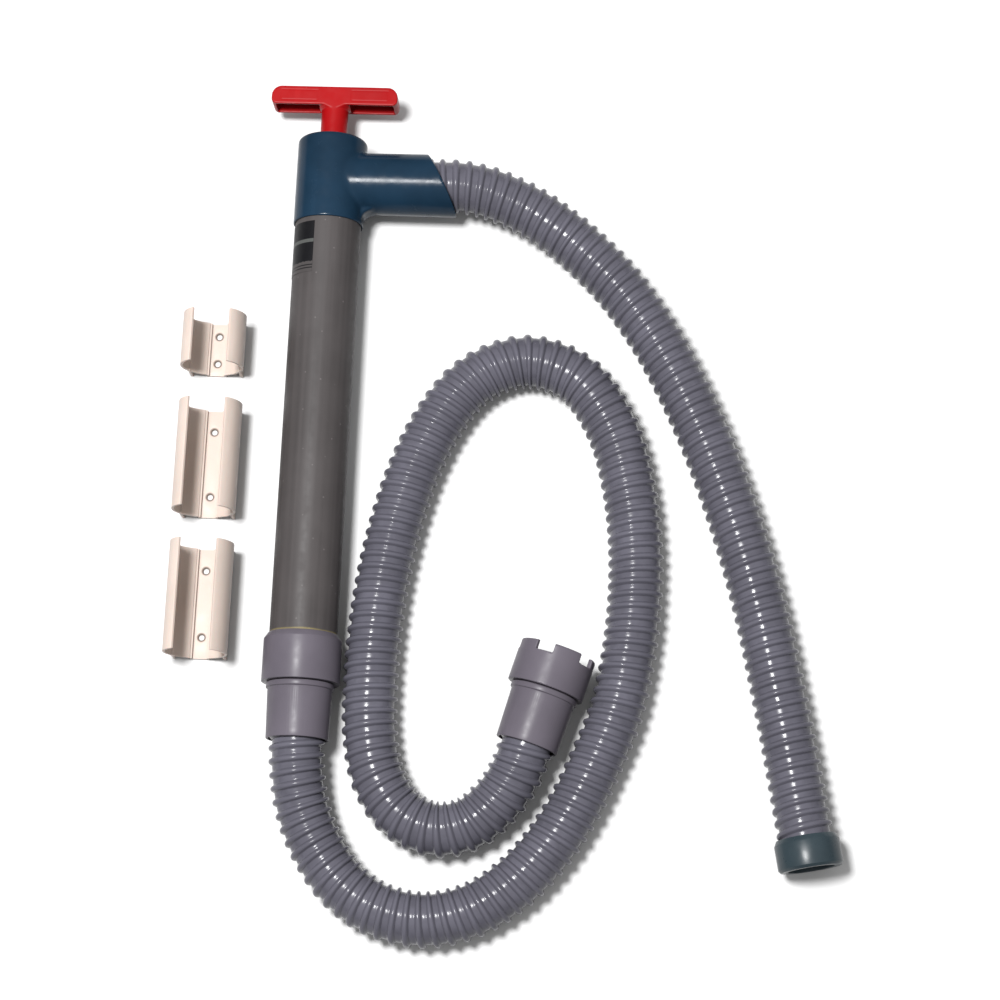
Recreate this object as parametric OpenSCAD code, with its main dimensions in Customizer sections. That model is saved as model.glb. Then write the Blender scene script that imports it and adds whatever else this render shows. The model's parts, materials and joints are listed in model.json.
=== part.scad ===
// Hand bilge pump with a suction hose, a discharge hose, a strainer end and three mounting clips.
// Lying on the plane z = 0. The barrel runs along +Y towards the T-handle, and the spout points to +X.

/* [Barrel] */
// Outer diameter of the barrel tube
barrel_d = 50; // [49.4:0.1:50.6]
// Wall thickness of the barrel tube
barrel_wall = 2.4; // [2:0.1:2.6]
// Length from the top of the T-handle to the mouth of the suction cuff
pump_length = 503; // [500:1:510]

/* [Head and spout] */
// Outer diameter of the moulded head
head_d = 53; // [52.8:0.1:54]
// Length of the head along the barrel
head_length = 68; // [66:1:70]
// Outer radius of the spout where it meets the head
spout_root_r = 23.4; // [23:0.1:23.8]
// Outer radius of the spout at its mouth
spout_mouth_r = 23.9; // [23.5:0.1:24.2]
// Angle of the slanted cut across the spout's mouth
spout_cut_angle = 27; // [15:1:30]

/* [Handle and rod] */
// Overall width of the T-handle
handle_width = 97; // [90:0.5:110]
// Thickness of the T-handle's bar along the barrel
handle_bar = 14.5; // [13:0.5:18]
// Depth of the T-handle's bar, and the diameter of its stem
stem_d = 20.6; // [19:0.1:22]
// Diameter of the plunger rod
rod_d = 14; // [13.6:0.1:14.4]

/* [Hoses] */
// Diameter of a hose over its ribs
hose_d = 41; // [40:0.2:41.4]
// Smallest bore of a hose
hose_bore_d = 36; // [32:0.5:37]

/* [Clips] */
// Outer diameter of a clip's open ring
clip_d = 47.5; // [46:0.5:50]
// Wall thickness of a clip
clip_wall = 1.9; // [1.6:0.1:2.2]
// Length of the short clip
clip_short_length = 41; // [36:1:50]
// Length of each long clip
clip_long_length = 83; // [70:1:84]
// Distance between the short clip's two screw holes
clip_short_pitch = 21.5; // [18:0.5:24]
// Distance between a long clip's two screw holes
clip_long_pitch = 50.5; // [40:0.5:60]
// Radius of a screw hole
screw_hole_r = 2.1; // [1.8:0.1:2.4]

/* [Hidden] */
$fn = 64;

red = "#c8161d";
navy = "#1f3f5c";
grey_pvc = "#5d5b5e";
lavender = "#7b7a88";
ivory = "#efe3da";

// Small overlap that makes cuts run clean through a face
over = 0.5;
// A cutter this long reaches past everything that it cuts
long_cut = 120;
// Radial gap of a running or seated fit
fit_gap = 0.05;
// Gap between faces that rest or slide on each other
rest_gap = 0.1;

// The large socket ring is the widest round piece, and it lies on the plane z = 0.
ring_r = 28.75;
pump_x = 4;
axis_z = ring_r;

// Heights along the pump, measured from its middle
handle_top = pump_length / 2;
handle_under = handle_top - handle_bar;
head_top = 209.5;
head_bottom = head_top - head_length;
spout_y = head_top - 33;
barrel_top = 152;
barrel_bottom = -198;
ring_top = -174;
ring_bottom = -210;
cuff_mouth = -pump_length / 2;

barrel_r = barrel_d / 2;
bore_r = barrel_r - barrel_wall;
head_r = head_d / 2;
head_bore_r = 20.5;
head_roof = 200;
head_edge_r = 3;

// Spout: distances from the pump's axis, square to it
spout_reach = 85.3;
socket_floor = 58;
port_r = 17;
hose_socket_r = 21.1;
web_r = 7;
web_half = 9;
web_bury = 8;
web_cover = 4;

rod_r = rod_d / 2;
stem_r = stem_d / 2;
stem_flare = 2.5;
stem_under = head_top + 0.3;
grip_corner = 8;
grip_wall = 2.4;
grip_end = 1;
pocket_gap = 1.5;
stem_bury = 3;
rod_top = 232;
bush_r = 12;
bush_flange_r = 15;
bush_bottom = 196.5;
bush_top = 209;
seal_r = 9.3;
seal_bottom = 202;
seal_top = 205.4;

// Plunger: heights with the handle pushed fully in
piston_top = -160;
piston_bottom = -172;
piston_r = 21.8;
rod_end_r = 5;
rod_end = -180;
groove_r = 18.5;
groove_bottom = -169.5;
groove_top = -162.5;
cup_gap = 0.2;
cup_lip = 1.6;
cup_web = 1.2;
cup_depth = 4;
port_circle_r = 13.5;
piston_port_r = 3.3;
ports = 6;
valve_thick = 2.5;
piston_valve_r = 17.5;
piston_valve_hole_r = 7.4;
stop_bottom = -153;
stop_top = -150.5;
stop_r = 12;
nut_r = 8.6;
nut_thick = 5.4;

// Foot valve
seat_bottom = barrel_bottom;
seat_top = -192;
seat_port_r = 3.6;
foot_valve_r = 18.5;
stud_r = 2.5;
stud_head_r = 6;
stud_head_bottom = -184;
stud_head_top = -181.5;
stud_rivet_r = 4.6;
stud_gap = 0.4;
stud_rivet_thick = 2.5;

// Cuff: the hose sleeve below the socket ring, and the same moulding at the strainer
ledge_r = 20;
ledge_bottom = -204;
collar_r = 25;
collar_thick = 4;
collar_gap = 0.6;
cuff_root_r = 23.8;
cuff_mouth_r = 22.9;
cuff_socket = 34;
waterway_r = 17;
spigot_r = 22;
ring_chamfer = 4.5;
ring_lip = 0.8;

// Strainer end
strainer_at = [170.5, -249.5];
strainer_turn = 16.5;
strainer_r = 28.3;
strainer_ring_bottom = 42;
strainer_ring_top = 73;
strainer_ledge = 48;
strainer_ledge_top = 52;
strainer_notches = 5;
notch_angle = 28;
notch_start = 23;
notch_depth = 7;
strainer_edge_r = 1.4;

// Plain cuff on the discharge hose's end
outlet_at = [377, -330];
outlet_turn = 11;
outlet_r = 23.5;
outlet_length = 23;
outlet_lip = 5.5;
outlet_edge = 2;
outlet_inset = 1.6;
outlet_shoulder = 4;
outlet_slope = 2.1;

hose_r = hose_d / 2;
hose_sides = 12;
floor_z = hose_r;

// Route of the discharge hose, from inside the spout to inside the plain cuff
discharge_route = [
    [62, 176.5, axis_z], [82, 176.5, axis_z], [102, 176.4, 28.6], [124, 173, 26.8],
    [146.5, 165, 24], [163, 156.5, 22.5], [178, 146.5, 21.5], [192, 136, floor_z], [225, 104, floor_z],
    [253, 66, floor_z], [275.5, 26, floor_z], [295, -16, floor_z], [312, -60, floor_z],
    [327, -105, floor_z], [339.5, -150, floor_z], [350, -196, floor_z], [359.5, -240, floor_z],
    [367.5, -281, 21.5], [372.3, -306, outlet_r], [375.9, -324.1, outlet_r]
];

// Route of the suction hose, from inside the suction cuff round to inside the strainer's cuff
suction_route = [
    [pump_x, -217.5, axis_z], [pump_x, -252, axis_z], [5.5, -276, 26.5], [10.5, -301, 23],
    [22, -327, 21],
    [41, -352.5, floor_z], [66, -369.5, floor_z], [100, -376.5, floor_z], [134, -369, floor_z],
    [162.5, -350.5, floor_z], [186, -325, floor_z], [205, -294.5, floor_z], [221, -259, floor_z],
    [234.5, -221.5, floor_z], [242, -181, floor_z], [245.5, -137, floor_z], [244.5, -95, floor_z],
    [238.5, -53, floor_z], [226.5, -12, floor_z], [204, 23.5, floor_z], [182.5, 37, floor_z],
    [158.5, 41.5, floor_z], [135, 35, floor_z], [115, 21, floor_z], [97, -3.5, floor_z],
    [80.5, -39, floor_z], [68.5, -80, floor_z], [60, -125, floor_z], [55.5, -170, floor_z],
    [54.5, -208, floor_z], [56, -243, floor_z], [63.5, -275.5, floor_z], [81, -300.5, floor_z],
    [105, -311.5, floor_z], [130, -307, floor_z], [150.5, -289.5, 23], [162.5, -271, 26],
    [170.5, -249.5, axis_z], [180, -217, axis_z]
];

// Clips: the open ring's middle above the plane, and where each clip lies
clip_z = 27;
clip_opening = 37;
clip_x = [-77.75, -76.5, -75.5];
clip_y = [49, -41, -148.5];
trough_half = 7.5;
wing_x = 20;
countersink_r = 3.6;
countersink_depth = 1;

// Label: a thin film round the barrel's left flank
label_top = 138;
label_bottom = 98;
label_start = 133;
label_sweep = 120;
label_thick = 0.3;

// Puts children, drawn along +Z, on the pump's axis along +Y
module on_pump() {
    translate([pump_x, 0, axis_z]) rotate([-90, 0, 0]) children();
}

module on_strainer() {
    translate([strainer_at[0], strainer_at[1], axis_z])
        rotate([0, 0, -strainer_turn]) rotate([-90, 0, 0]) children();
}

// Drawn along +Z from the cuff's open end into the cuff
module on_outlet() {
    translate([outlet_at[0], outlet_at[1], outlet_r])
        rotate([0, 0, outlet_turn]) rotate([-90, 0, 0]) children();
}

module disc(r, low, high) {
    translate([0, 0, low]) cylinder(r = r, h = high - low);
}

module ring(outer, inner, low, high) {
    difference() {
        disc(outer, low, high);
        disc(inner, low - over, high + over);
    }
}

module taper(low_r, high_r, low, high) {
    translate([0, 0, low]) cylinder(r1 = low_r, r2 = high_r, h = high - low);
}

// A round bar with its top edge rounded by r
module rounded_top(outer, low, high, r) {
    disc(outer, low, high - r);
    disc(outer - r, low, high);
    translate([0, 0, high - r]) rotate_extrude() translate([outer - r, 0]) circle(r = r);
}

module around(count, radius) {
    for (i = [0 : count - 1]) rotate([0, 0, 360 * i / count]) translate([radius, 0, 0]) children();
}

// Outline of the T-handle's bar, across its width, flat along the side that faces the pump
module bar_outline(half, thick, corner) {
    intersection() {
        hull() {
            for (side = [-1, 1]) {
                translate([side * (half - corner), thick - corner]) circle(r = corner, $fn = 32);
                translate([side * (half - corner / 2), corner / 2]) circle(r = corner / 2, $fn = 32);
            }
        }
        translate([-half, 0]) square([2 * half, thick]);
    }
}

module grip_pocket() {
    inner = stem_r + pocket_gap;
    outer = handle_width / 2 - grip_wall - grip_end;
    wide = stem_r - grip_wall;
    translate([inner, -wide, handle_under - over])
        cube([outer - inner, 2 * wide, handle_bar - grip_wall + over]);
}

module handle() {
    color(red) on_pump() difference() {
        union() {
            translate([0, stem_r, handle_under]) rotate([90, 0, 0])
                linear_extrude(height = stem_d)
                    bar_outline(handle_width / 2, handle_bar, grip_corner);
            disc(stem_r, stem_under, handle_top - stem_bury);
            intersection() {
                taper(stem_r, stem_r + stem_flare, handle_under - stem_flare, handle_under);
                translate([0, 0, handle_under]) cube([long_cut, stem_d, 4 * stem_flare], center = true);
            }
        }
        grip_pocket();
        mirror([1, 0, 0]) grip_pocket();
        disc(rod_r + fit_gap, stem_under - over, rod_top + rest_gap);
    }
}

module plunger_rod() {
    color("#b9b9bd") on_pump() {
        disc(rod_r, piston_top + rest_gap, rod_top);
        disc(rod_end_r, rod_end, piston_top + over);
    }
}

module rod_bush() {
    color("#2b2b2e") on_pump() difference() {
        union() {
            disc(bush_r - fit_gap, bush_bottom, bush_top);
            disc(bush_flange_r, bush_bottom, head_roof);
        }
        disc(rod_r + fit_gap, bush_bottom - over, bush_top + over);
        disc(seal_r + fit_gap, seal_bottom, seal_top);
    }
}

module rod_seal() {
    color("#161616") on_pump()
        ring(seal_r, rod_r + fit_gap, seal_bottom + rest_gap, seal_top - rest_gap);
}

// Concave web between the head's lower rim and the spout's underside
module spout_web() {
    corner_x = head_r - over;
    corner_y = spout_y - spout_root_r;
    translate([0, web_half, 0]) rotate([90, 0, 0]) linear_extrude(height = 2 * web_half)
        difference() {
            translate([corner_x - web_bury, corner_y - web_r])
                square([web_bury + web_r, web_r + web_cover]);
            translate([corner_x + web_r, corner_y - web_r]) circle(r = web_r);
        }
}

module spout_bar(low_r, high_r, start, reach) {
    translate([0, 0, spout_y]) rotate([0, 90, 0]) taper(low_r, high_r, start, reach);
}

module head() {
    mouth_far = spout_reach + head_r;
    color(navy) on_pump() difference() {
        union() {
            rounded_top(head_r, head_bottom, head_top, head_edge_r);
            difference() {
                spout_bar(spout_root_r, spout_mouth_r, 0, mouth_far);
                translate([spout_reach, 0, spout_y]) rotate([0, -spout_cut_angle, 0])
                    translate([0, -long_cut / 2, -long_cut / 2]) cube(long_cut);
            }
            spout_web();
        }
        disc(barrel_r + fit_gap, head_bottom - over, barrel_top);
        disc(head_bore_r, barrel_top - over, head_roof);
        disc(bush_r, head_roof - over, head_top + over);
        spout_bar(port_r, port_r, 0, socket_floor + over);
        spout_bar(hose_socket_r, hose_socket_r, socket_floor, mouth_far + over);
    }
}

module barrel_tube() {
    color(grey_pvc) on_pump() ring(barrel_r, bore_r, barrel_bottom, barrel_top);
}

module barrel_label() {
    color("#1b1b1d") on_pump() translate([0, 0, label_bottom]) rotate([0, 0, label_start])
        rotate_extrude(angle = label_sweep) translate([barrel_r, 0])
            square([label_thick, label_top - label_bottom]);
}

module piston_body() {
    color("#d9d9d6") on_pump() difference() {
        disc(piston_r, piston_bottom, piston_top);
        ring(piston_r + over, groove_r, groove_bottom, groove_top);
        disc(rod_end_r + fit_gap, piston_bottom - over, piston_top + over);
        around(ports, port_circle_r) disc(piston_port_r, piston_bottom - over, piston_top + over);
    }
}

module piston_cup() {
    cup_r = bore_r - cup_gap;
    low = groove_bottom + rest_gap;
    high = groove_top - rest_gap;
    color("#1d1d1f") on_pump() difference() {
        ring(cup_r, groove_r + fit_gap, low, high);
        ring(cup_r - cup_lip, groove_r + cup_web, high - cup_depth, high + over);
    }
}

module piston_valve_disc() {
    low = piston_top + rest_gap;
    color("#26262a") on_pump() ring(piston_valve_r, piston_valve_hole_r, low, low + valve_thick);
}

module valve_stop() {
    color("#d9d9d6") on_pump() ring(stop_r, rod_r + fit_gap, stop_bottom, stop_top);
}

module piston_nut() {
    high = piston_bottom - 2 * rest_gap;
    color("#c9c9cc") on_pump() difference() {
        translate([0, 0, high - nut_thick]) cylinder(r = nut_r, h = nut_thick, $fn = 6);
        disc(rod_end_r + fit_gap, high - nut_thick - over, high + over);
    }
}

module foot_valve_seat() {
    color("#8b8a93") on_pump() difference() {
        disc(bore_r - fit_gap, seat_bottom, seat_top);
        disc(stud_r + fit_gap, seat_bottom - over, seat_top + over);
        around(ports, port_circle_r) disc(seat_port_r, seat_bottom - over, seat_top + over);
    }
}

module foot_valve_disc() {
    low = seat_top + rest_gap;
    color("#26262a") on_pump() ring(foot_valve_r, stud_r + stud_gap, low, low + valve_thick);
}

module foot_valve_stud() {
    color("#d9d9d6") on_pump() {
        disc(stud_r, seat_bottom - stud_rivet_thick, stud_head_top);
        disc(stud_head_r, stud_head_bottom, stud_head_top);
        disc(stud_rivet_r, seat_bottom - stud_rivet_thick, seat_bottom - fit_gap);
    }
}

module lower_socket() {
    color(lavender) on_pump() difference() {
        union() {
            disc(ring_r, ring_bottom, ring_top - ring_chamfer);
            taper(ring_r, barrel_r + ring_lip, ring_top - ring_chamfer, ring_top);
        }
        disc(barrel_r + fit_gap, barrel_bottom, ring_top + over);
        disc(ledge_r, ring_bottom - over, barrel_bottom + over);
        disc(spigot_r + fit_gap, ring_bottom - over, ledge_bottom);
    }
}

// Hose cuff with its collar and spigot: mouth at low, collar's top face at high
module hose_cuff(low, high, spigot_top) {
    collar_bottom = high - collar_thick;
    difference() {
        union() {
            taper(cuff_mouth_r, cuff_root_r, low, collar_bottom);
            disc(collar_r, collar_bottom, high);
            disc(spigot_r, high - over, spigot_top);
        }
        disc(hose_socket_r, low - over, low + cuff_socket);
        disc(waterway_r, low, spigot_top + over);
    }
}

module suction_cuff() {
    color(lavender) on_pump()
        hose_cuff(cuff_mouth, ring_bottom - collar_gap, ledge_bottom - rest_gap);
}

module strainer_cuff() {
    color(lavender) on_strainer()
        hose_cuff(0, strainer_ring_bottom - collar_gap, strainer_ledge - rest_gap);
}

module strainer_ring() {
    color(lavender) on_strainer() difference() {
        rounded_top(strainer_r, strainer_ring_bottom, strainer_ring_top, strainer_edge_r);
        disc(barrel_r + fit_gap, strainer_ledge_top, strainer_ring_top + over);
        disc(spigot_r + fit_gap, strainer_ring_bottom - over, strainer_ledge);
        disc(ledge_r, strainer_ledge - over, strainer_ledge_top + over);
        for (i = [0 : strainer_notches - 1])
            rotate([0, 0, notch_start + 360 * i / strainer_notches])
                translate([0, 0, strainer_ring_top - notch_depth])
                    rotate_extrude(angle = notch_angle) translate([ledge_r, 0])
                        square([long_cut, notch_depth + over]);
    }
}

module discharge_cuff() {
    shoulder = outlet_length - outlet_shoulder;
    color("#24434f") on_outlet() difference() {
        union() {
            taper(outlet_r - outlet_inset, outlet_r, 0, outlet_edge);
            disc(outlet_r, outlet_edge, shoulder);
            taper(outlet_r, outlet_r - outlet_slope, shoulder, outlet_length);
        }
        disc(port_r, -over, outlet_lip + over);
        disc(hose_socket_r, outlet_lip, outlet_length + over);
    }
}

// Direction of a route at point i
function heading(route, i) =
    let (last = len(route) - 1, a = route[max(i - 1, 0)], b = route[min(i + 1, last)])
    (b - a) / norm(b - a);

// Points of one ring of radius r across a route at point i, with one corner straight down
function ring_points(route, i, r) =
    let (t = heading(route, i), s = cross(t, [0, 0, 1]), side = s / norm(s), up = cross(side, t))
    [for (k = [0 : hose_sides - 1])
        let (a = 360 * k / hose_sides) route[i] + r * (cos(a) * side + sin(a) * up)];

// Quads between two rings of points, the first starting at a and the second at b
function band(a, b, flip) =
    [for (k = [0 : hose_sides - 1])
        let (n = (k + 1) % hose_sides)
        flip ? [a + k, b + k, b + n, a + n] : [a + k, a + n, b + n, b + k]];

// A hollow hose swept along its route: outer rings first, then the bore's rings
module hose(route) {
    rings = len(route);
    inner = rings * hose_sides;
    far = (rings - 1) * hose_sides;
    points = concat(
        [for (i = [0 : rings - 1]) each ring_points(route, i, hose_r)],
        [for (i = [0 : rings - 1]) each ring_points(route, i, hose_bore_d / 2)]
    );
    walls = [for (i = [0 : rings - 2]) let (a = i * hose_sides, b = a + hose_sides)
        each concat(band(a, b, true), band(inner + a, inner + b, false))];
    ends = concat(band(0, inner, false), band(far, inner + far, true));
    polyhedron(points = points, faces = concat(walls, ends), convexity = 10);
}

module suction_hose() {
    color(lavender) hose(suction_route);
}

module discharge_hose() {
    color(lavender) hose(discharge_route);
}

// A clip's cross-section: open ring, screw trough and two legs, standing on y = 0
module clip_outline() {
    clip_r = clip_d / 2;
    leg_top = clip_z - sqrt(pow(clip_r - clip_wall / 2, 2) - pow(wing_x, 2));
    difference() {
        translate([0, clip_z]) circle(r = clip_r);
        translate([0, clip_z]) circle(r = clip_r - clip_wall);
        translate([0, clip_z]) polygon([[0, 0], clip_ray(-1), [0, 3 * clip_r], clip_ray(1)]);
        translate([-trough_half + over, 0]) square([2 * (trough_half - over), clip_z]);
    }
    translate([-trough_half, 0]) square([2 * trough_half, clip_wall]);
    for (side = [-1, 1]) {
        translate([side > 0 ? trough_half - clip_wall : -trough_half, 0])
            square([clip_wall, trough_rise(trough_half - clip_wall / 2)]);
        translate([side > 0 ? wing_x - clip_wall : -wing_x, 0]) square([clip_wall, leg_top]);
    }
}

// Height of the middle of a clip's ring wall at distance x from its middle
function trough_rise(x) = clip_z - sqrt(pow((clip_d - clip_wall) / 2, 2) - pow(x, 2));

// Far point of the wedge that opens a clip's ring
function clip_ray(side) = [side * 2 * clip_d * sin(clip_opening), 2 * clip_d * cos(clip_opening)];

module screw_hole() {
    translate([0, 0, -over]) cylinder(r = screw_hole_r, h = clip_wall + 2 * over);
    translate([0, 0, clip_wall - countersink_depth])
        cylinder(r1 = screw_hole_r, r2 = countersink_r, h = countersink_depth + 0.01);
}

module clip(place, length, pitch) {
    translate([clip_x[place], clip_y[place], 0]) difference() {
        translate([0, length / 2, 0]) rotate([90, 0, 0]) linear_extrude(height = length)
            clip_outline();
        for (side = [-1, 1]) translate([0, side * pitch / 2, 0]) screw_hole();
    }
}

module clip_short() {
    color(ivory) clip(0, clip_short_length, clip_short_pitch);
}

module clip_long_upper() {
    color(ivory) clip(1, clip_long_length, clip_long_pitch);
}

module clip_long_lower() {
    color(ivory) clip(2, clip_long_length, clip_long_pitch);
}

handle();
plunger_rod();
rod_bush();
rod_seal();
head();
barrel_tube();
barrel_label();
piston_body();
piston_cup();
piston_valve_disc();
valve_stop();
piston_nut();
foot_valve_seat();
foot_valve_disc();
foot_valve_stud();
lower_socket();
suction_cuff();
suction_hose();
strainer_ring();
strainer_cuff();
discharge_hose();
discharge_cuff();
clip_short();
clip_long_upper();
clip_long_lower();
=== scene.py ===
"""Looks of the hand bilge pump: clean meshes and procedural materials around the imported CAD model."""

import json
import math

import bmesh
import bpy
import numpy as np
from mathutils import Matrix, Vector


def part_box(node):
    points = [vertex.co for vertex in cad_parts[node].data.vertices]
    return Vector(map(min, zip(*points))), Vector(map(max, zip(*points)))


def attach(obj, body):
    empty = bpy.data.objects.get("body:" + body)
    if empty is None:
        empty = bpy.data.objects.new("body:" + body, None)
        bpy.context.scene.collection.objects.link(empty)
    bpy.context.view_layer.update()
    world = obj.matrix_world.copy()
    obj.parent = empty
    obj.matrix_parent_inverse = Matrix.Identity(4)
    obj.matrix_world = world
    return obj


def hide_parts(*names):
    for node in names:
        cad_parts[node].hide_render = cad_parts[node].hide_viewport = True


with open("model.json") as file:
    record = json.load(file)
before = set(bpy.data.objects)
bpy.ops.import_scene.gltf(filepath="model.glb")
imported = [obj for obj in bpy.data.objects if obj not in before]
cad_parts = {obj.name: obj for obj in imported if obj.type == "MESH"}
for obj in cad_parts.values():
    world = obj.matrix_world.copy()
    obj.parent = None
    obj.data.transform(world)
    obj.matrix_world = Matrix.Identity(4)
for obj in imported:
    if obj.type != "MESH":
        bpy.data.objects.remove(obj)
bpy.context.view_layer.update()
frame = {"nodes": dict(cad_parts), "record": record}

MM = 0.001

# ---------------------------------------------------------------- camera

LOOK_AT = Vector((0.1422, -0.061, 0.0))
AZIMUTH = math.radians(12.6)
ELEVATION = math.radians(76.2)
ROLL = math.radians(2.5)
DISTANCE = 1.951
LENS = 93.6
FAR_CLIP = 20


def make_camera():
    """A long lens looking down on the pump, a little from its lower end and from its right."""
    back = Vector((
        math.sin(AZIMUTH) * math.cos(ELEVATION),
        -math.cos(AZIMUTH) * math.cos(ELEVATION),
        math.sin(ELEVATION),
    ))
    flat = (-back).cross(Vector((0, 1, 0))).normalized()
    upright = flat.cross(-back)
    right = math.cos(ROLL) * flat + math.sin(ROLL) * upright
    up = math.cos(ROLL) * upright - math.sin(ROLL) * flat
    data = bpy.data.cameras.new("camera")
    data.lens = LENS
    data.clip_end = FAR_CLIP
    camera = bpy.data.objects.new("camera", data)
    bpy.context.scene.collection.objects.link(camera)
    turn = Matrix((right, up, back)).transposed()
    camera.matrix_world = Matrix.Translation(LOOK_AT + back * DISTANCE) @ turn.to_4x4()
    bpy.context.scene.camera = camera


make_camera()

# ---------------------------------------------------------------- mesh helpers

# Corners closer than this, in metres, are one corner
JOIN_WITHIN = 2e-6
# Faces within this many degrees of each other are one flat face
FLAT_WITHIN = 0.4
# Edges sharper than this many degrees are rounded, in so many steps
ROUND_ABOVE = 28
ROUND_STEPS = 3
# Edges sharper than this many degrees stay sharp in the shading
SHARP_ABOVE = 40
SOFTEN_FACTOR = 0.5


def middle(node):
    low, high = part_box(node)
    return (low + high) / 2


def new_piece(name, mesh, body, node):
    """A shown piece that rides on a body and stands for a CAD node."""
    piece = bpy.data.objects.new(name, mesh)
    bpy.context.scene.collection.objects.link(piece)
    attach(piece, body)
    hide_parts(node)
    return piece


def applied(piece):
    """The piece's mesh with its modifiers applied."""
    graph = bpy.context.evaluated_depsgraph_get()
    return bpy.data.meshes.new_from_object(piece.evaluated_get(graph), depsgraph=graph)


def shade_smooth(mesh):
    mesh.polygons.foreach_set("use_smooth", [True] * len(mesh.polygons))


def joined_copy(node):
    """A copy of a CAD node's mesh with its split corners joined."""
    work = bmesh.new()
    work.from_mesh(frame["nodes"][node].data)
    bmesh.ops.remove_doubles(work, verts=work.verts, dist=JOIN_WITHIN)
    return work


def rounded(node, body, radius):
    """A CAD node's shape with its flat faces made whole and its sharp edges rounded by radius."""
    work = joined_copy(node)
    bmesh.ops.dissolve_limit(
        work, angle_limit=math.radians(FLAT_WITHIN), verts=work.verts, edges=work.edges)
    edges = [e for e in work.edges
             if len(e.link_faces) == 2 and e.calc_face_angle(0) > math.radians(ROUND_ABOVE)]
    bmesh.ops.bevel(work, geom=edges, offset=radius, offset_type="OFFSET",
                    segments=ROUND_STEPS, profile=0.5, affect="EDGES", clamp_overlap=True)
    mesh = bpy.data.meshes.new(node + "_shape")
    work.to_mesh(mesh)
    work.free()
    mesh.materials.clear()
    shade_smooth(mesh)
    mesh.set_sharp_from_angle(angle=math.radians(SHARP_ABOVE))
    return new_piece(node + "_skin", mesh, body, node)


def moulded(node, body, voxel, passes, weight=None, weighted_passes=0):
    """A CAD node's shape as a moulding: remeshed, with every edge and corner softened.

    weight, where given, maps vertex positions to how much more they are softened, from 0 to 1."""
    work = joined_copy(node)
    mesh = bpy.data.meshes.new(node + "_source")
    work.to_mesh(mesh)
    work.free()
    piece = bpy.data.objects.new(node + "_work", mesh)
    bpy.context.scene.collection.objects.link(piece)
    remesh = piece.modifiers.new("remesh", "REMESH")
    remesh.mode = "VOXEL"
    remesh.voxel_size = voxel
    piece.data = applied(piece)
    piece.modifiers.clear()
    if weight is not None:
        co = np.empty(len(piece.data.vertices) * 3)
        piece.data.vertices.foreach_get("co", co)
        group = piece.vertex_groups.new(name="soft")
        for i, w in enumerate(weight(co.reshape(-1, 3))):
            if w > 0:
                group.add([i], float(w), "REPLACE")
        extra = piece.modifiers.new("fillet", "SMOOTH")
        extra.factor = SOFTEN_FACTOR
        extra.iterations = weighted_passes
        extra.vertex_group = "soft"
    soften = piece.modifiers.new("soften", "SMOOTH")
    soften.factor = SOFTEN_FACTOR
    soften.iterations = passes
    mesh = applied(piece)
    bpy.data.objects.remove(piece)
    mesh.name = node + "_shape"
    mesh.materials.clear()
    shade_smooth(mesh)
    return new_piece(node + "_skin", mesh, body, node)


# ---------------------------------------------------------------- hoses

HOSE_D = 41 * MM
ROOT_R = 17.9 * MM
BORE_R = 17.1 * MM
BORE_WAVE = 0.6 * MM
RIB_PITCH = 9 * MM
RIB_SHARE = 0.52
CROWN = 0.08 * MM
RINGS_A_RIB = 14
HOSE_SIDES = 40
BORE_RINGS_A_RIB = 2
CURVE_STEPS = 60

AXIS_Z = 28.75
FLOOR_Z = 20.5
OUTLET_Z = 23.5

# The discharge hose's route, from inside the spout to inside the plain cuff, in millimetres
DISCHARGE_ROUTE = [
    (62, 176.5, AXIS_Z), (82, 176.5, AXIS_Z), (102, 176.4, 28.6), (124, 173, 26.8), (146.5, 165, 24),
    (163, 156.5, 22.5), (178, 146.5, 21.5), (192, 136, FLOOR_Z), (225, 104, FLOOR_Z),
    (253, 66, FLOOR_Z), (275.5, 26, FLOOR_Z), (295, -16, FLOOR_Z), (312, -60, FLOOR_Z),
    (327, -105, FLOOR_Z), (339.5, -150, FLOOR_Z), (350, -196, FLOOR_Z), (359.5, -240, FLOOR_Z),
    (367.5, -281, 21.5), (372.3, -306, OUTLET_Z), (375.9, -324.1, OUTLET_Z),
]

# The suction hose's route, from inside the suction cuff round to inside the strainer's cuff
SUCTION_ROUTE = [
    (4, -217.5, AXIS_Z), (4, -252, AXIS_Z), (5.5, -276, 26.5), (10.5, -301, 23), (22, -327, 21),
    (41, -352.5, FLOOR_Z), (66, -369.5, FLOOR_Z), (100, -376.5, FLOOR_Z), (134, -369, FLOOR_Z),
    (162.5, -350.5, FLOOR_Z), (186, -325, FLOOR_Z), (205, -294.5, FLOOR_Z),
    (221, -259, FLOOR_Z), (234.5, -221.5, FLOOR_Z), (242, -181, FLOOR_Z),
    (245.5, -137, FLOOR_Z), (244.5, -95, FLOOR_Z), (238.5, -53, FLOOR_Z), (226.5, -12, FLOOR_Z),
    (204, 23.5, FLOOR_Z), (182.5, 37, FLOOR_Z), (158.5, 41.5, FLOOR_Z), (135, 35, FLOOR_Z),
    (115, 21, FLOOR_Z), (97, -3.5, FLOOR_Z), (80.5, -39, FLOOR_Z), (68.5, -80, FLOOR_Z),
    (60, -125, FLOOR_Z), (55.5, -170, FLOOR_Z), (54.5, -208, FLOOR_Z), (56, -243, FLOOR_Z),
    (63.5, -275.5, FLOOR_Z), (81, -300.5, FLOOR_Z), (105, -311.5, FLOOR_Z),
    (130, -307, FLOOR_Z), (150.5, -289.5, 23), (162.5, -271, 26), (170.5, -249.5, AXIS_Z),
    (180, -217, AXIS_Z),
]


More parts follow.
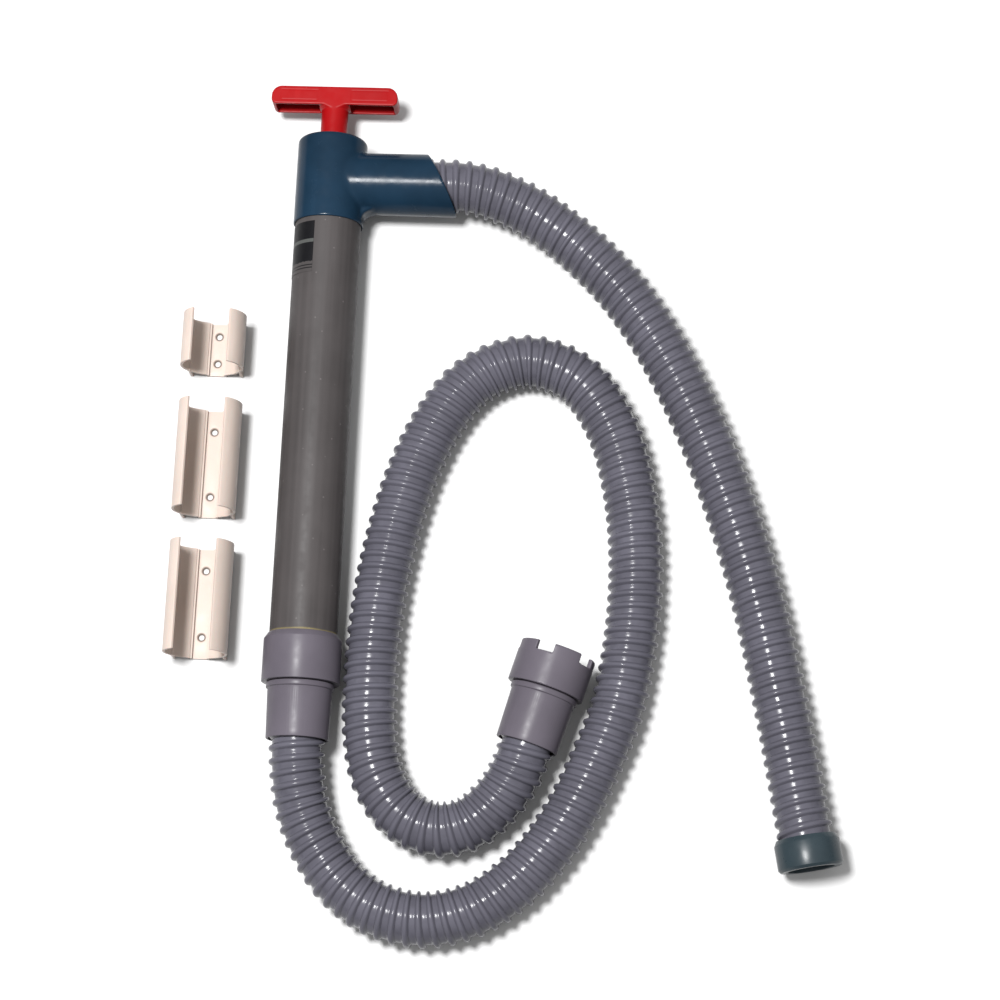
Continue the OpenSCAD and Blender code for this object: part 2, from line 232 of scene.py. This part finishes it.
def smooth_line(route, step):
    """Points a step apart, in metres, on the centripetal Catmull-Rom curve through a route."""
    p = np.array(route, float) * MM
    p = np.vstack([2 * p[0] - p[1], p, 2 * p[-1] - p[-2]])
    fine = []
    for a, b, c, d in zip(p, p[1:], p[2:], p[3:]):
        t0 = 0.0
        t1 = t0 + math.sqrt(np.linalg.norm(b - a))
        t2 = t1 + math.sqrt(np.linalg.norm(c - b))
        t3 = t2 + math.sqrt(np.linalg.norm(d - c))
        for t in np.linspace(t1, t2, CURVE_STEPS, endpoint=False):
            ab = (t1 - t) / (t1 - t0) * a + (t - t0) / (t1 - t0) * b
            bc = (t2 - t) / (t2 - t1) * b + (t - t1) / (t2 - t1) * c
            cd = (t3 - t) / (t3 - t2) * c + (t - t2) / (t3 - t2) * d
            abc = (t2 - t) / (t2 - t0) * ab + (t - t0) / (t2 - t0) * bc
            bcd = (t3 - t) / (t3 - t1) * bc + (t - t1) / (t3 - t1) * cd
            fine.append((t2 - t) / (t2 - t1) * abc + (t - t1) / (t2 - t1) * bcd)
    fine = np.array(fine + [p[-2]])
    along = np.concatenate([[0], np.cumsum(np.linalg.norm(np.diff(fine, axis=0), axis=1))])
    count = max(2, int(round(along[-1] / step)))
    places = np.linspace(0, along[-1], count + 1)
    return np.column_stack([np.interp(places, along, fine[:, i]) for i in range(3)]), places


def frames(line):
    """Side and up directions, square to the line, that stay level."""
    heading = np.gradient(line, axis=0)
    heading /= np.linalg.norm(heading, axis=1)[:, None]
    side = np.cross(heading, [0, 0, 1.0])
    side /= np.linalg.norm(side, axis=1)[:, None]
    return side, np.cross(side, heading)


def rib_height(turns):
    """How far a rib stands out, 0 to 1, by turns along its helix, and the flat's crown."""
    phase = np.mod(turns, 1.0)
    near = np.abs(phase - 0.5) / (RIB_SHARE / 2)
    rib = np.clip(1 - near ** 3, 0, 1)
    flat = np.mod(phase - 0.5 - RIB_SHARE / 2, 1.0) / (1 - RIB_SHARE)
    crown = np.where(flat < 1, np.sin(np.clip(flat, 0, 1) * math.pi), 0)
    return rib, crown


def ring_grid(line, radius, side, up, angles):
    """Vertices of rings round a line. radius holds one value per ring and side."""
    across = (np.cos(angles)[None, :, None] * side[:, None, :]
              + np.sin(angles)[None, :, None] * up[:, None, :])
    return line[:, None, :] + radius[:, :, None] * across


def grid_faces(rings, sides, start, inside_out):
    """Quads between neighbouring rings of vertices, the first of which begins at start."""
    faces = []
    for i in range(rings - 1):
        a, b = start + i * sides, start + (i + 1) * sides
        for k in range(sides):
            n = (k + 1) % sides
            quad = (a + k, a + n, b + n, b + k)
            faces.append(quad[::-1] if inside_out else quad)
    return faces


def make_hose(name, route, node):
    """A ribbed hose with its bore, as one closed mesh."""
    line, along = smooth_line(route, RIB_PITCH / RINGS_A_RIB)
    line[:, 2] = np.maximum(line[:, 2], FLOOR_Z * MM)
    side, up = frames(line)
    angles = np.arange(HOSE_SIDES) * 2 * math.pi / HOSE_SIDES
    turns = along[:, None] / RIB_PITCH + angles[None, :] / (2 * math.pi)
    rib, crown = rib_height(turns)
    outer = ROOT_R + (HOSE_D / 2 - ROOT_R) * rib + CROWN * crown
    skip = RINGS_A_RIB // BORE_RINGS_A_RIB
    picks = sorted(set(range(0, len(line), skip)) | {len(line) - 1})
    wave, _ = rib_height(turns[picks])
    inner = BORE_R + BORE_WAVE * wave
    outside = ring_grid(line, outer, side, up, angles)
    inside = ring_grid(line[picks], inner, side[picks], up[picks], angles)
    points = np.vstack([outside.reshape(-1, 3), inside.reshape(-1, 3)])
    n_out, n_in = len(line), len(picks)
    base = n_out * HOSE_SIDES
    faces = grid_faces(n_out, HOSE_SIDES, 0, True) + grid_faces(n_in, HOSE_SIDES, base, False)
    for out_start, in_start, flip in (
        (0, base, True),
        ((n_out - 1) * HOSE_SIDES, base + (n_in - 1) * HOSE_SIDES, False),
    ):
        for k in range(HOSE_SIDES):
            n = (k + 1) % HOSE_SIDES
            quad = (out_start + k, out_start + n, in_start + n, in_start + k)
            faces.append(quad[::-1] if flip else quad)
    mesh = bpy.data.meshes.new(name + "_shape")
    mesh.from_pydata(points.tolist(), [], faces)
    shade_smooth(mesh)
    raised = mesh.attributes.new("raised", "FLOAT", "POINT")
    raised.data.foreach_set("value", np.concatenate([rib.ravel(), np.zeros(n_in * HOSE_SIDES)]))
    work = bmesh.new()
    work.from_mesh(mesh)
    bmesh.ops.recalc_face_normals(work, faces=work.faces)
    work.to_mesh(mesh)
    work.free()
    piece = new_piece(name, mesh, "pump", node)
    dress(piece, "hose_grey")


# ---------------------------------------------------------------- materials

# In metres: the label's dark panel starts this far up it, and its two rules stand below that
PANEL_START = 9 * MM
RULES_AT = (3.0 * MM, 5.2 * MM)
# A countersink's depth, and the radii between which the shade painted round each screw hole fades out
SINK_Z = 1.5 * MM
HOLE_SHADE_FULL_R = 2.6 * MM
HOLE_SHADE_END_R = 3.8 * MM
# Half the height over which the cement at the socket fades out
BEAD_FADE = 0.6 * MM


class Shading:
    """A node material being built around one Principled shader."""

    def __init__(self, name):
        self.material = bpy.data.materials.new(name)
        self.material.use_nodes = True
        self.tree = self.material.node_tree
        self.shader = self.tree.nodes["Principled BSDF"]
        self.place = self.node("ShaderNodeTexCoord").outputs["Object"]

    def node(self, kind, **inputs):
        made = self.tree.nodes.new(kind)
        for name, value in inputs.items():
            made.inputs[name.replace("_", " ")].default_value = value
        return made

    def link(self, a, b):
        self.tree.links.new(a, b)

    def stretched(self, scale):
        mapping = self.node("ShaderNodeMapping")
        mapping.inputs["Scale"].default_value = scale
        self.link(self.place, mapping.inputs["Vector"])
        return mapping.outputs["Vector"]

    def noise(self, scale, detail=3.0, vector=None):
        made = self.node("ShaderNodeTexNoise", Scale=scale, Detail=detail)
        self.link(vector or self.place, made.inputs["Vector"])
        return made.outputs["Fac"]

    def remap(self, value, low, high, to_low, to_high):
        made = self.node("ShaderNodeMapRange")
        made.inputs["From Min"].default_value = low
        made.inputs["From Max"].default_value = high
        made.inputs["To Min"].default_value = to_low
        made.inputs["To Max"].default_value = to_high
        self.link(value, made.inputs["Value"])
        return made.outputs["Result"]

    def maths(self, kind, a, b):
        made = self.node("ShaderNodeMath")
        made.operation = kind
        for socket, value in zip(made.inputs, (a, b)):
            if isinstance(value, (int, float)):
                socket.default_value = value
            else:
                self.link(value, socket)
        return made.outputs[0]

    def mix(self, share, a, b):
        made = self.node("ShaderNodeMix")
        made.data_type = "RGBA"
        self.link(share, made.inputs[0])
        for socket, value in ((made.inputs[6], a), (made.inputs[7], b)):
            if isinstance(value, tuple):
                socket.default_value = (*value, 1)
            else:
                self.link(value, socket)
        return made.outputs[2]

    def bump(self, height, strength, distance, under=None):
        made = self.node("ShaderNodeBump", Strength=strength, Distance=distance)
        self.link(height, made.inputs["Height"])
        if under is not None:
            self.link(under, made.inputs["Normal"])
        return made.outputs["Normal"]

    def axis(self, name):
        split = self.node("ShaderNodeSeparateXYZ")
        self.link(self.place, split.inputs[0])
        return split.outputs[name]


def lighter(colour, share):
    return tuple(min(1.0, c * share) for c in colour)


def plastic(name, colour, rough, spread=0.16, grain=0.12, gloss=0.11, scuffs=0.35, finish=True):
    """Moulded plastic: blotches of tone, fine grain, handling scuffs that dull the gloss.

    Where finish is False the caller works on the tone and links it to the shader itself."""
    s = Shading(name)
    blotch = s.remap(s.noise(26, 5), 0.35, 0.65, 0, 1)
    tone = s.mix(blotch, lighter(colour, 1 - spread), lighter(colour, 1 + spread))
    thin = s.noise(60, 8, s.stretched((1.0, 0.12, 1.0)))
    worn = s.remap(thin, 0.60, 0.72, 0, scuffs)
    tone = s.mix(s.maths("MULTIPLY", worn, 0.35), tone, lighter(colour, 2.2))
    base_rough = s.remap(s.noise(140, 4), 0.3, 0.7, rough - 0.05, rough + 0.07)
    s.link(s.maths("ADD", base_rough, s.maths("MULTIPLY", worn, 0.35)),
           s.shader.inputs["Roughness"])
    skin = s.bump(s.noise(1500, 3), grain, 0.00006)
    sink = s.bump(s.noise(55, 3), 0.18, 0.0006, skin)
    s.link(sink, s.shader.inputs["Normal"])
    s.shader.inputs["Specular IOR Level"].default_value = gloss
    if finish:
        s.link(tone, s.shader.inputs["Base Color"])
    return s, tone


RED = (0.212, 0.0025, 0.0035)
NAVY = (0.0058, 0.0172, 0.0325)
PVC = (0.041, 0.037, 0.037)
LAVENDER = (0.074, 0.066, 0.080)
HOSE = (0.068, 0.066, 0.082)
TEAL = (0.020, 0.030, 0.036)
IVORY = (0.43, 0.36, 0.318)
INK = (0.004, 0.004, 0.005)
GLUE = (0.16, 0.13, 0.058)
# Painted shade for in and round the clips' screw holes
HOLE_SHADE = (0.083, 0.062, 0.05)
BAND = (0.09, 0.095, 0.09)
RUBBER = (0.018, 0.018, 0.019)
BLACK = (0.028, 0.028, 0.032)
ROD = (0.42, 0.42, 0.44)
WHITE = (0.68, 0.68, 0.65)


def pvc_tube():
    """Drawn pipe: faint lengthwise lines, small specks, and a bead of cement at the socket."""
    s, tone = plastic("grey_pvc", PVC, 0.46, spread=0.10, grain=0.08, scuffs=0.25, finish=False)
    lines = s.noise(220, 3, s.stretched((1.0, 0.01, 1.0)))
    tone = s.mix(s.remap(lines, 0.4, 0.7, 0, 0.35), tone, lighter(PVC, 1.5))
    specks = s.node("ShaderNodeTexVoronoi", Scale=120)
    s.link(s.place, specks.inputs["Vector"])
    dots = s.remap(specks.outputs["Distance"], 0.05, 0.09, 0.6, 0)
    tone = s.mix(dots, tone, lighter(PVC, 2.6))
    socket_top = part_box("lower_socket")[1].y
    up = s.maths("ADD", s.axis("Y"), s.maths("MULTIPLY", s.noise(60, 3), -0.002))
    bead = s.remap(up, socket_top + BEAD_FADE, socket_top - BEAD_FADE, 0, 0.8)
    tone = s.mix(bead, tone, GLUE)
    s.link(tone, s.shader.inputs["Base Color"])
    return s.material


def label_film():
    """Printed film: a solid dark panel with a plain pale band, and thin rules under it."""
    s, tone = plastic("label_film", PVC, 0.42, spread=0.08, grain=0.05, finish=False)
    low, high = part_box("barrel_label")
    panel_low = low.y + PANEL_START
    ragged = s.maths("ADD", s.axis("Y"), s.maths("MULTIPLY", s.noise(500, 3), 0.0024))
    panel = s.remap(ragged, panel_low, panel_low + 0.0004, 0, 1)
    tone = s.mix(panel, tone, INK)
    for place in RULES_AT:
        off = s.maths("ABSOLUTE", s.maths("SUBTRACT", s.axis("Y"), low.y + place), 0)
        tone = s.mix(s.remap(off, 0.0003, 0.0006, 0.9, 0), tone, INK)
    middle_y = (panel_low + high.y) / 2
    off = s.maths("ABSOLUTE", s.maths("SUBTRACT", s.axis("Y"), middle_y), 0)
    tone = s.mix(s.remap(off, 0.0012, 0.0015, 0.55, 0), tone, BAND)
    s.link(tone, s.shader.inputs["Base Color"])
    return s.material


def hose_plastic():
    """Ribbed hose: glossy, with darker patches in the valleys and painted shade, a dark line at each
    rib's foot.
    """
    s, tone = plastic("hose_plastic", HOSE, 0.17, spread=0.10, grain=0.05, gloss=0.14,
                      scuffs=0.18, finish=False)
    ribs = s.node("ShaderNodeAttribute")
    ribs.attribute_name = "raised"
    height = ribs.outputs["Fac"]
    on_rib = s.remap(height, 0.02, 0.22, 0.0, 1.0)
    patches = s.remap(s.noise(90, 4), 0.4, 0.7, 0.0, 0.6)
    tone = s.mix(on_rib, s.mix(patches, tone, lighter(HOSE, 0.7)), tone)
    # Painted shade: a dark line along the foot of each rib, on both flanks
    rib_foot_shade = s.maths("MULTIPLY", s.remap(height, 0.0, 0.12, 0, 1), s.remap(height, 0.3, 0.12, 0, 1))
    tone = s.mix(s.maths("MULTIPLY", rib_foot_shade, 0.45), tone, lighter(HOSE, 0.35))
    s.link(tone, s.shader.inputs["Base Color"])
    return s.material


def ivory_clip():
    """Extruded plastic, with shade painted in and round the countersink of each screw hole."""
    s, tone = plastic("ivory_clip", IVORY, 0.38, spread=0.035, grain=0.06, scuffs=0.12,
                      finish=False)
    for mount in frame["record"]["mounts"]:
        if mount["kind"] != "bolt_pattern":
            continue
        for side in (-0.5, 0.5):
            x, y, _ = mount["pos_m"]
            hole = (x, y + side * mount["dims"]["spacing_y_mm"] * MM, SINK_Z)
            away = s.node("ShaderNodeVectorMath")
            away.operation = "DISTANCE"
            away.inputs[1].default_value = hole
            s.link(s.place, away.inputs[0])
            # Painted shade: darkens the plastic in and round the countersink, where the hole's shadow
            # falls
            hole_shade = s.remap(away.outputs["Value"], HOLE_SHADE_FULL_R, HOLE_SHADE_END_R, 0.85, 0)
            tone = s.mix(hole_shade, tone, HOLE_SHADE)
    s.link(tone, s.shader.inputs["Base Color"])
    s.shader.inputs["Subsurface Weight"].default_value = 0.08
    s.shader.inputs["Subsurface Scale"].default_value = 0.002
    return s.material


def plain(name, colour, rough, **looks):
    """A plastic that needs nothing added to it."""
    return plastic(name, colour, rough, **looks)[0].material


MATERIALS = {
    "red_handle": plain("red_plastic", RED, 0.34, spread=0.06, grain=0.08, scuffs=0.25),
    "navy_head": plain("navy_plastic", NAVY, 0.21, gloss=0.09, scuffs=0.22),
    "grey_pvc": pvc_tube(),
    "fitting_grey": plain("lavender_plastic", LAVENDER, 0.34, spread=0.07, scuffs=0.16),
    "hose_grey": hose_plastic(),
    "teal_cuff": plain("teal_plastic", TEAL, 0.30, gloss=0.2, scuffs=0.2),
    "ivory_clip": ivory_clip(),
    "label_film": label_film(),
    "black_rubber": plain("black_rubber", RUBBER, 0.62, spread=0.25, grain=0.35, scuffs=0.4),
    "black_plastic": plain("black_plastic", BLACK, 0.40),
    "rod_plastic": plain("rod_plastic", ROD, 0.30, spread=0.05),
    "white_plastic": plain("white_plastic", WHITE, 0.36, spread=0.04),
}


def dress(piece, slot):
    """Gives a piece the material of a slot, in place of whatever it has."""
    piece.data.materials.clear()
    piece.data.materials.append(MATERIALS[slot])


# ---------------------------------------------------------------- pieces

# The body that each moulded or extruded part rides on, and the radius of its edges in millimetres
EDGES = {
    "lower_socket": ("pump", 0.8),
    "suction_cuff": ("pump", 0.6),
    "strainer_cuff": ("pump", 0.7),
    "discharge_cuff": ("pump", 1.1),
    "clip_short": ("clip_short", 0.35),
    "clip_long_upper": ("clip_upper", 0.35),
    "clip_long_lower": ("clip_lower", 0.35),
}

slot_of = {s["node"]: s["material_slot"] for s in frame["record"]["subparts"]}
skins = {node: rounded(node, body, size * MM) for node, (body, size) in EDGES.items()}

pump_axis = middle("barrel_tube")
SPOUT_Y = 176.5 * MM
SPOUT_R = 23.4 * MM
HEAD_R = 26.5 * MM
FILLET_REACH = 6 * MM
WEB_REACH = 10 * MM
WEB_SOFTENING = 0.6


def near_spout_root(points):
    """1 where the spout leaves the head, fading to 0 a fillet's reach away. Less on the web."""
    x, y, z = (points - np.array(pump_axis) * np.array([1, 0, 1])).T
    from_head = np.abs(np.hypot(x, z) - HEAD_R) / FILLET_REACH
    from_spout = np.abs(np.hypot(y - SPOUT_Y, z) - SPOUT_R) / FILLET_REACH
    outside = (x > 0) & (np.hypot(x, z) > HEAD_R - 1.2 * MM)
    fillet = np.clip(1 - from_head, 0, 1) * np.clip(1 - from_spout, 0, 1)
    under = np.maximum(np.abs(y - (SPOUT_Y - SPOUT_R)), np.abs(z)) < WEB_REACH
    web = under & (x < HEAD_R + WEB_REACH)
    return np.where(outside, np.maximum(fillet, WEB_SOFTENING * web), 0)


BAR_THICK = 14.5 * MM
PANEL_NEAR = 13 * MM
PANEL_FAR = 41 * MM
PANEL_EDGE = 3.2 * MM
PANEL_LINE = 0.7 * MM
PANEL_DEPTH = 0.14 * MM


def press_panels(mesh):
    """Presses a thin line round a panel into each half of the grip's two broad faces."""
    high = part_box("handle")[1]
    bar_low = high.y - BAR_THICK
    reach = (PANEL_FAR - PANEL_NEAR) / 2
    half = (high.y - bar_low) / 2 - PANEL_EDGE
    for vertex in mesh.vertices:
        across = abs(vertex.co.x - pump_axis.x) - (PANEL_NEAR + PANEL_FAR) / 2
        up = vertex.co.y - (high.y + bar_low) / 2
        off = abs(max(abs(across) - reach, abs(up) - half))
        if abs(vertex.normal.z) > 0.8 and off < PANEL_LINE:
            sink = PANEL_DEPTH * math.cos(off / PANEL_LINE * math.pi / 2) ** 2
            vertex.co.z -= math.copysign(sink, vertex.normal.z)


skins["head"] = moulded("head", "pump", 0.7 * MM, 4, near_spout_root, 70)
skins["handle"] = moulded("handle", "plunger", 0.45 * MM, 8)
press_panels(skins["handle"].data)
skins["strainer_ring"] = moulded("strainer_ring", "pump", 0.5 * MM, 4)
for node, piece in skins.items():
    dress(piece, slot_of[node])

make_hose("discharge_tube", DISCHARGE_ROUTE, "discharge_hose")
make_hose("suction_tube", SUCTION_ROUTE, "suction_hose")

for node, shown in frame["nodes"].items():
    if not shown.hide_render:
        dress(shown, slot_of[node])

# ---------------------------------------------------------------- studio

SKY = 1.0
HORIZON = 0.03
FADE_FROM = 0.1
SOFTBOX_AT = (-0.34, 0.0, 2.2)
SOFTBOX_POWER = 99
SOFTBOX_SIZE = 0.5
FLOOR_HALF = 6.0
FLOOR_DROP = -0.3 * MM
FLOOR_DARK = (0.49, 0.49, 0.49)
FLOOR_LIGHT = (0.51, 0.51, 0.51)


def floor_material():
    s = Shading("pale_floor")
    tone = s.mix(s.remap(s.noise(9, 4), 0.3, 0.7, 0, 1), FLOOR_DARK, FLOOR_LIGHT)
    s.link(tone, s.shader.inputs["Base Color"])
    s.link(s.remap(s.noise(40, 3), 0.3, 0.7, 0.75, 0.9), s.shader.inputs["Roughness"])
    s.shader.inputs["Specular IOR Level"].default_value = 0.1
    return s.material


def make_floor():
    mesh = bpy.data.meshes.new("floor")
    corners = [(x * FLOOR_HALF, y * FLOOR_HALF, FLOOR_DROP)
               for x, y in ((-1, -1), (1, -1), (1, 1), (-1, 1))]
    mesh.from_pydata(corners, [], [(0, 1, 2, 3)])
    mesh.materials.append(floor_material())
    floor = bpy.data.objects.new("floor", mesh)
    bpy.context.scene.collection.objects.link(floor)


def make_softbox():
    data = bpy.data.lights.new("softbox", "AREA")
    data.energy = SOFTBOX_POWER
    data.shape = "DISK"
    data.size = SOFTBOX_SIZE
    light = bpy.data.objects.new("softbox", data)
    bpy.context.scene.collection.objects.link(light)
    light.location = SOFTBOX_AT
    light.rotation_euler = (LOOK_AT - Vector(SOFTBOX_AT)).to_track_quat("-Z", "Y").to_euler()


def overhead_sky():
    """Soft light from all over the ceiling, fading towards the walls."""
    world = bpy.data.worlds.new("studio")
    world.use_nodes = True
    tree = world.node_tree
    split = tree.nodes.new("ShaderNodeSeparateXYZ")
    tree.links.new(tree.nodes.new("ShaderNodeTexCoord").outputs["Generated"], split.inputs[0])
    fade = tree.nodes.new("ShaderNodeMapRange")
    for name, value in (("From Min", FADE_FROM), ("From Max", 1.0),
                        ("To Min", HORIZON), ("To Max", SKY)):
        fade.inputs[name].default_value = value
    tree.links.new(split.outputs["Z"], fade.inputs["Value"])
    tree.links.new(fade.outputs["Result"], tree.nodes["Background"].inputs["Strength"])
    tree.nodes["Background"].inputs["Color"].default_value = (1, 1, 1, 1)
    return world


def make_studio():
    make_floor()
    bpy.context.scene.world = overhead_sky()
    make_softbox()
    bpy.context.scene.view_settings.view_transform = "Standard"


make_studio()
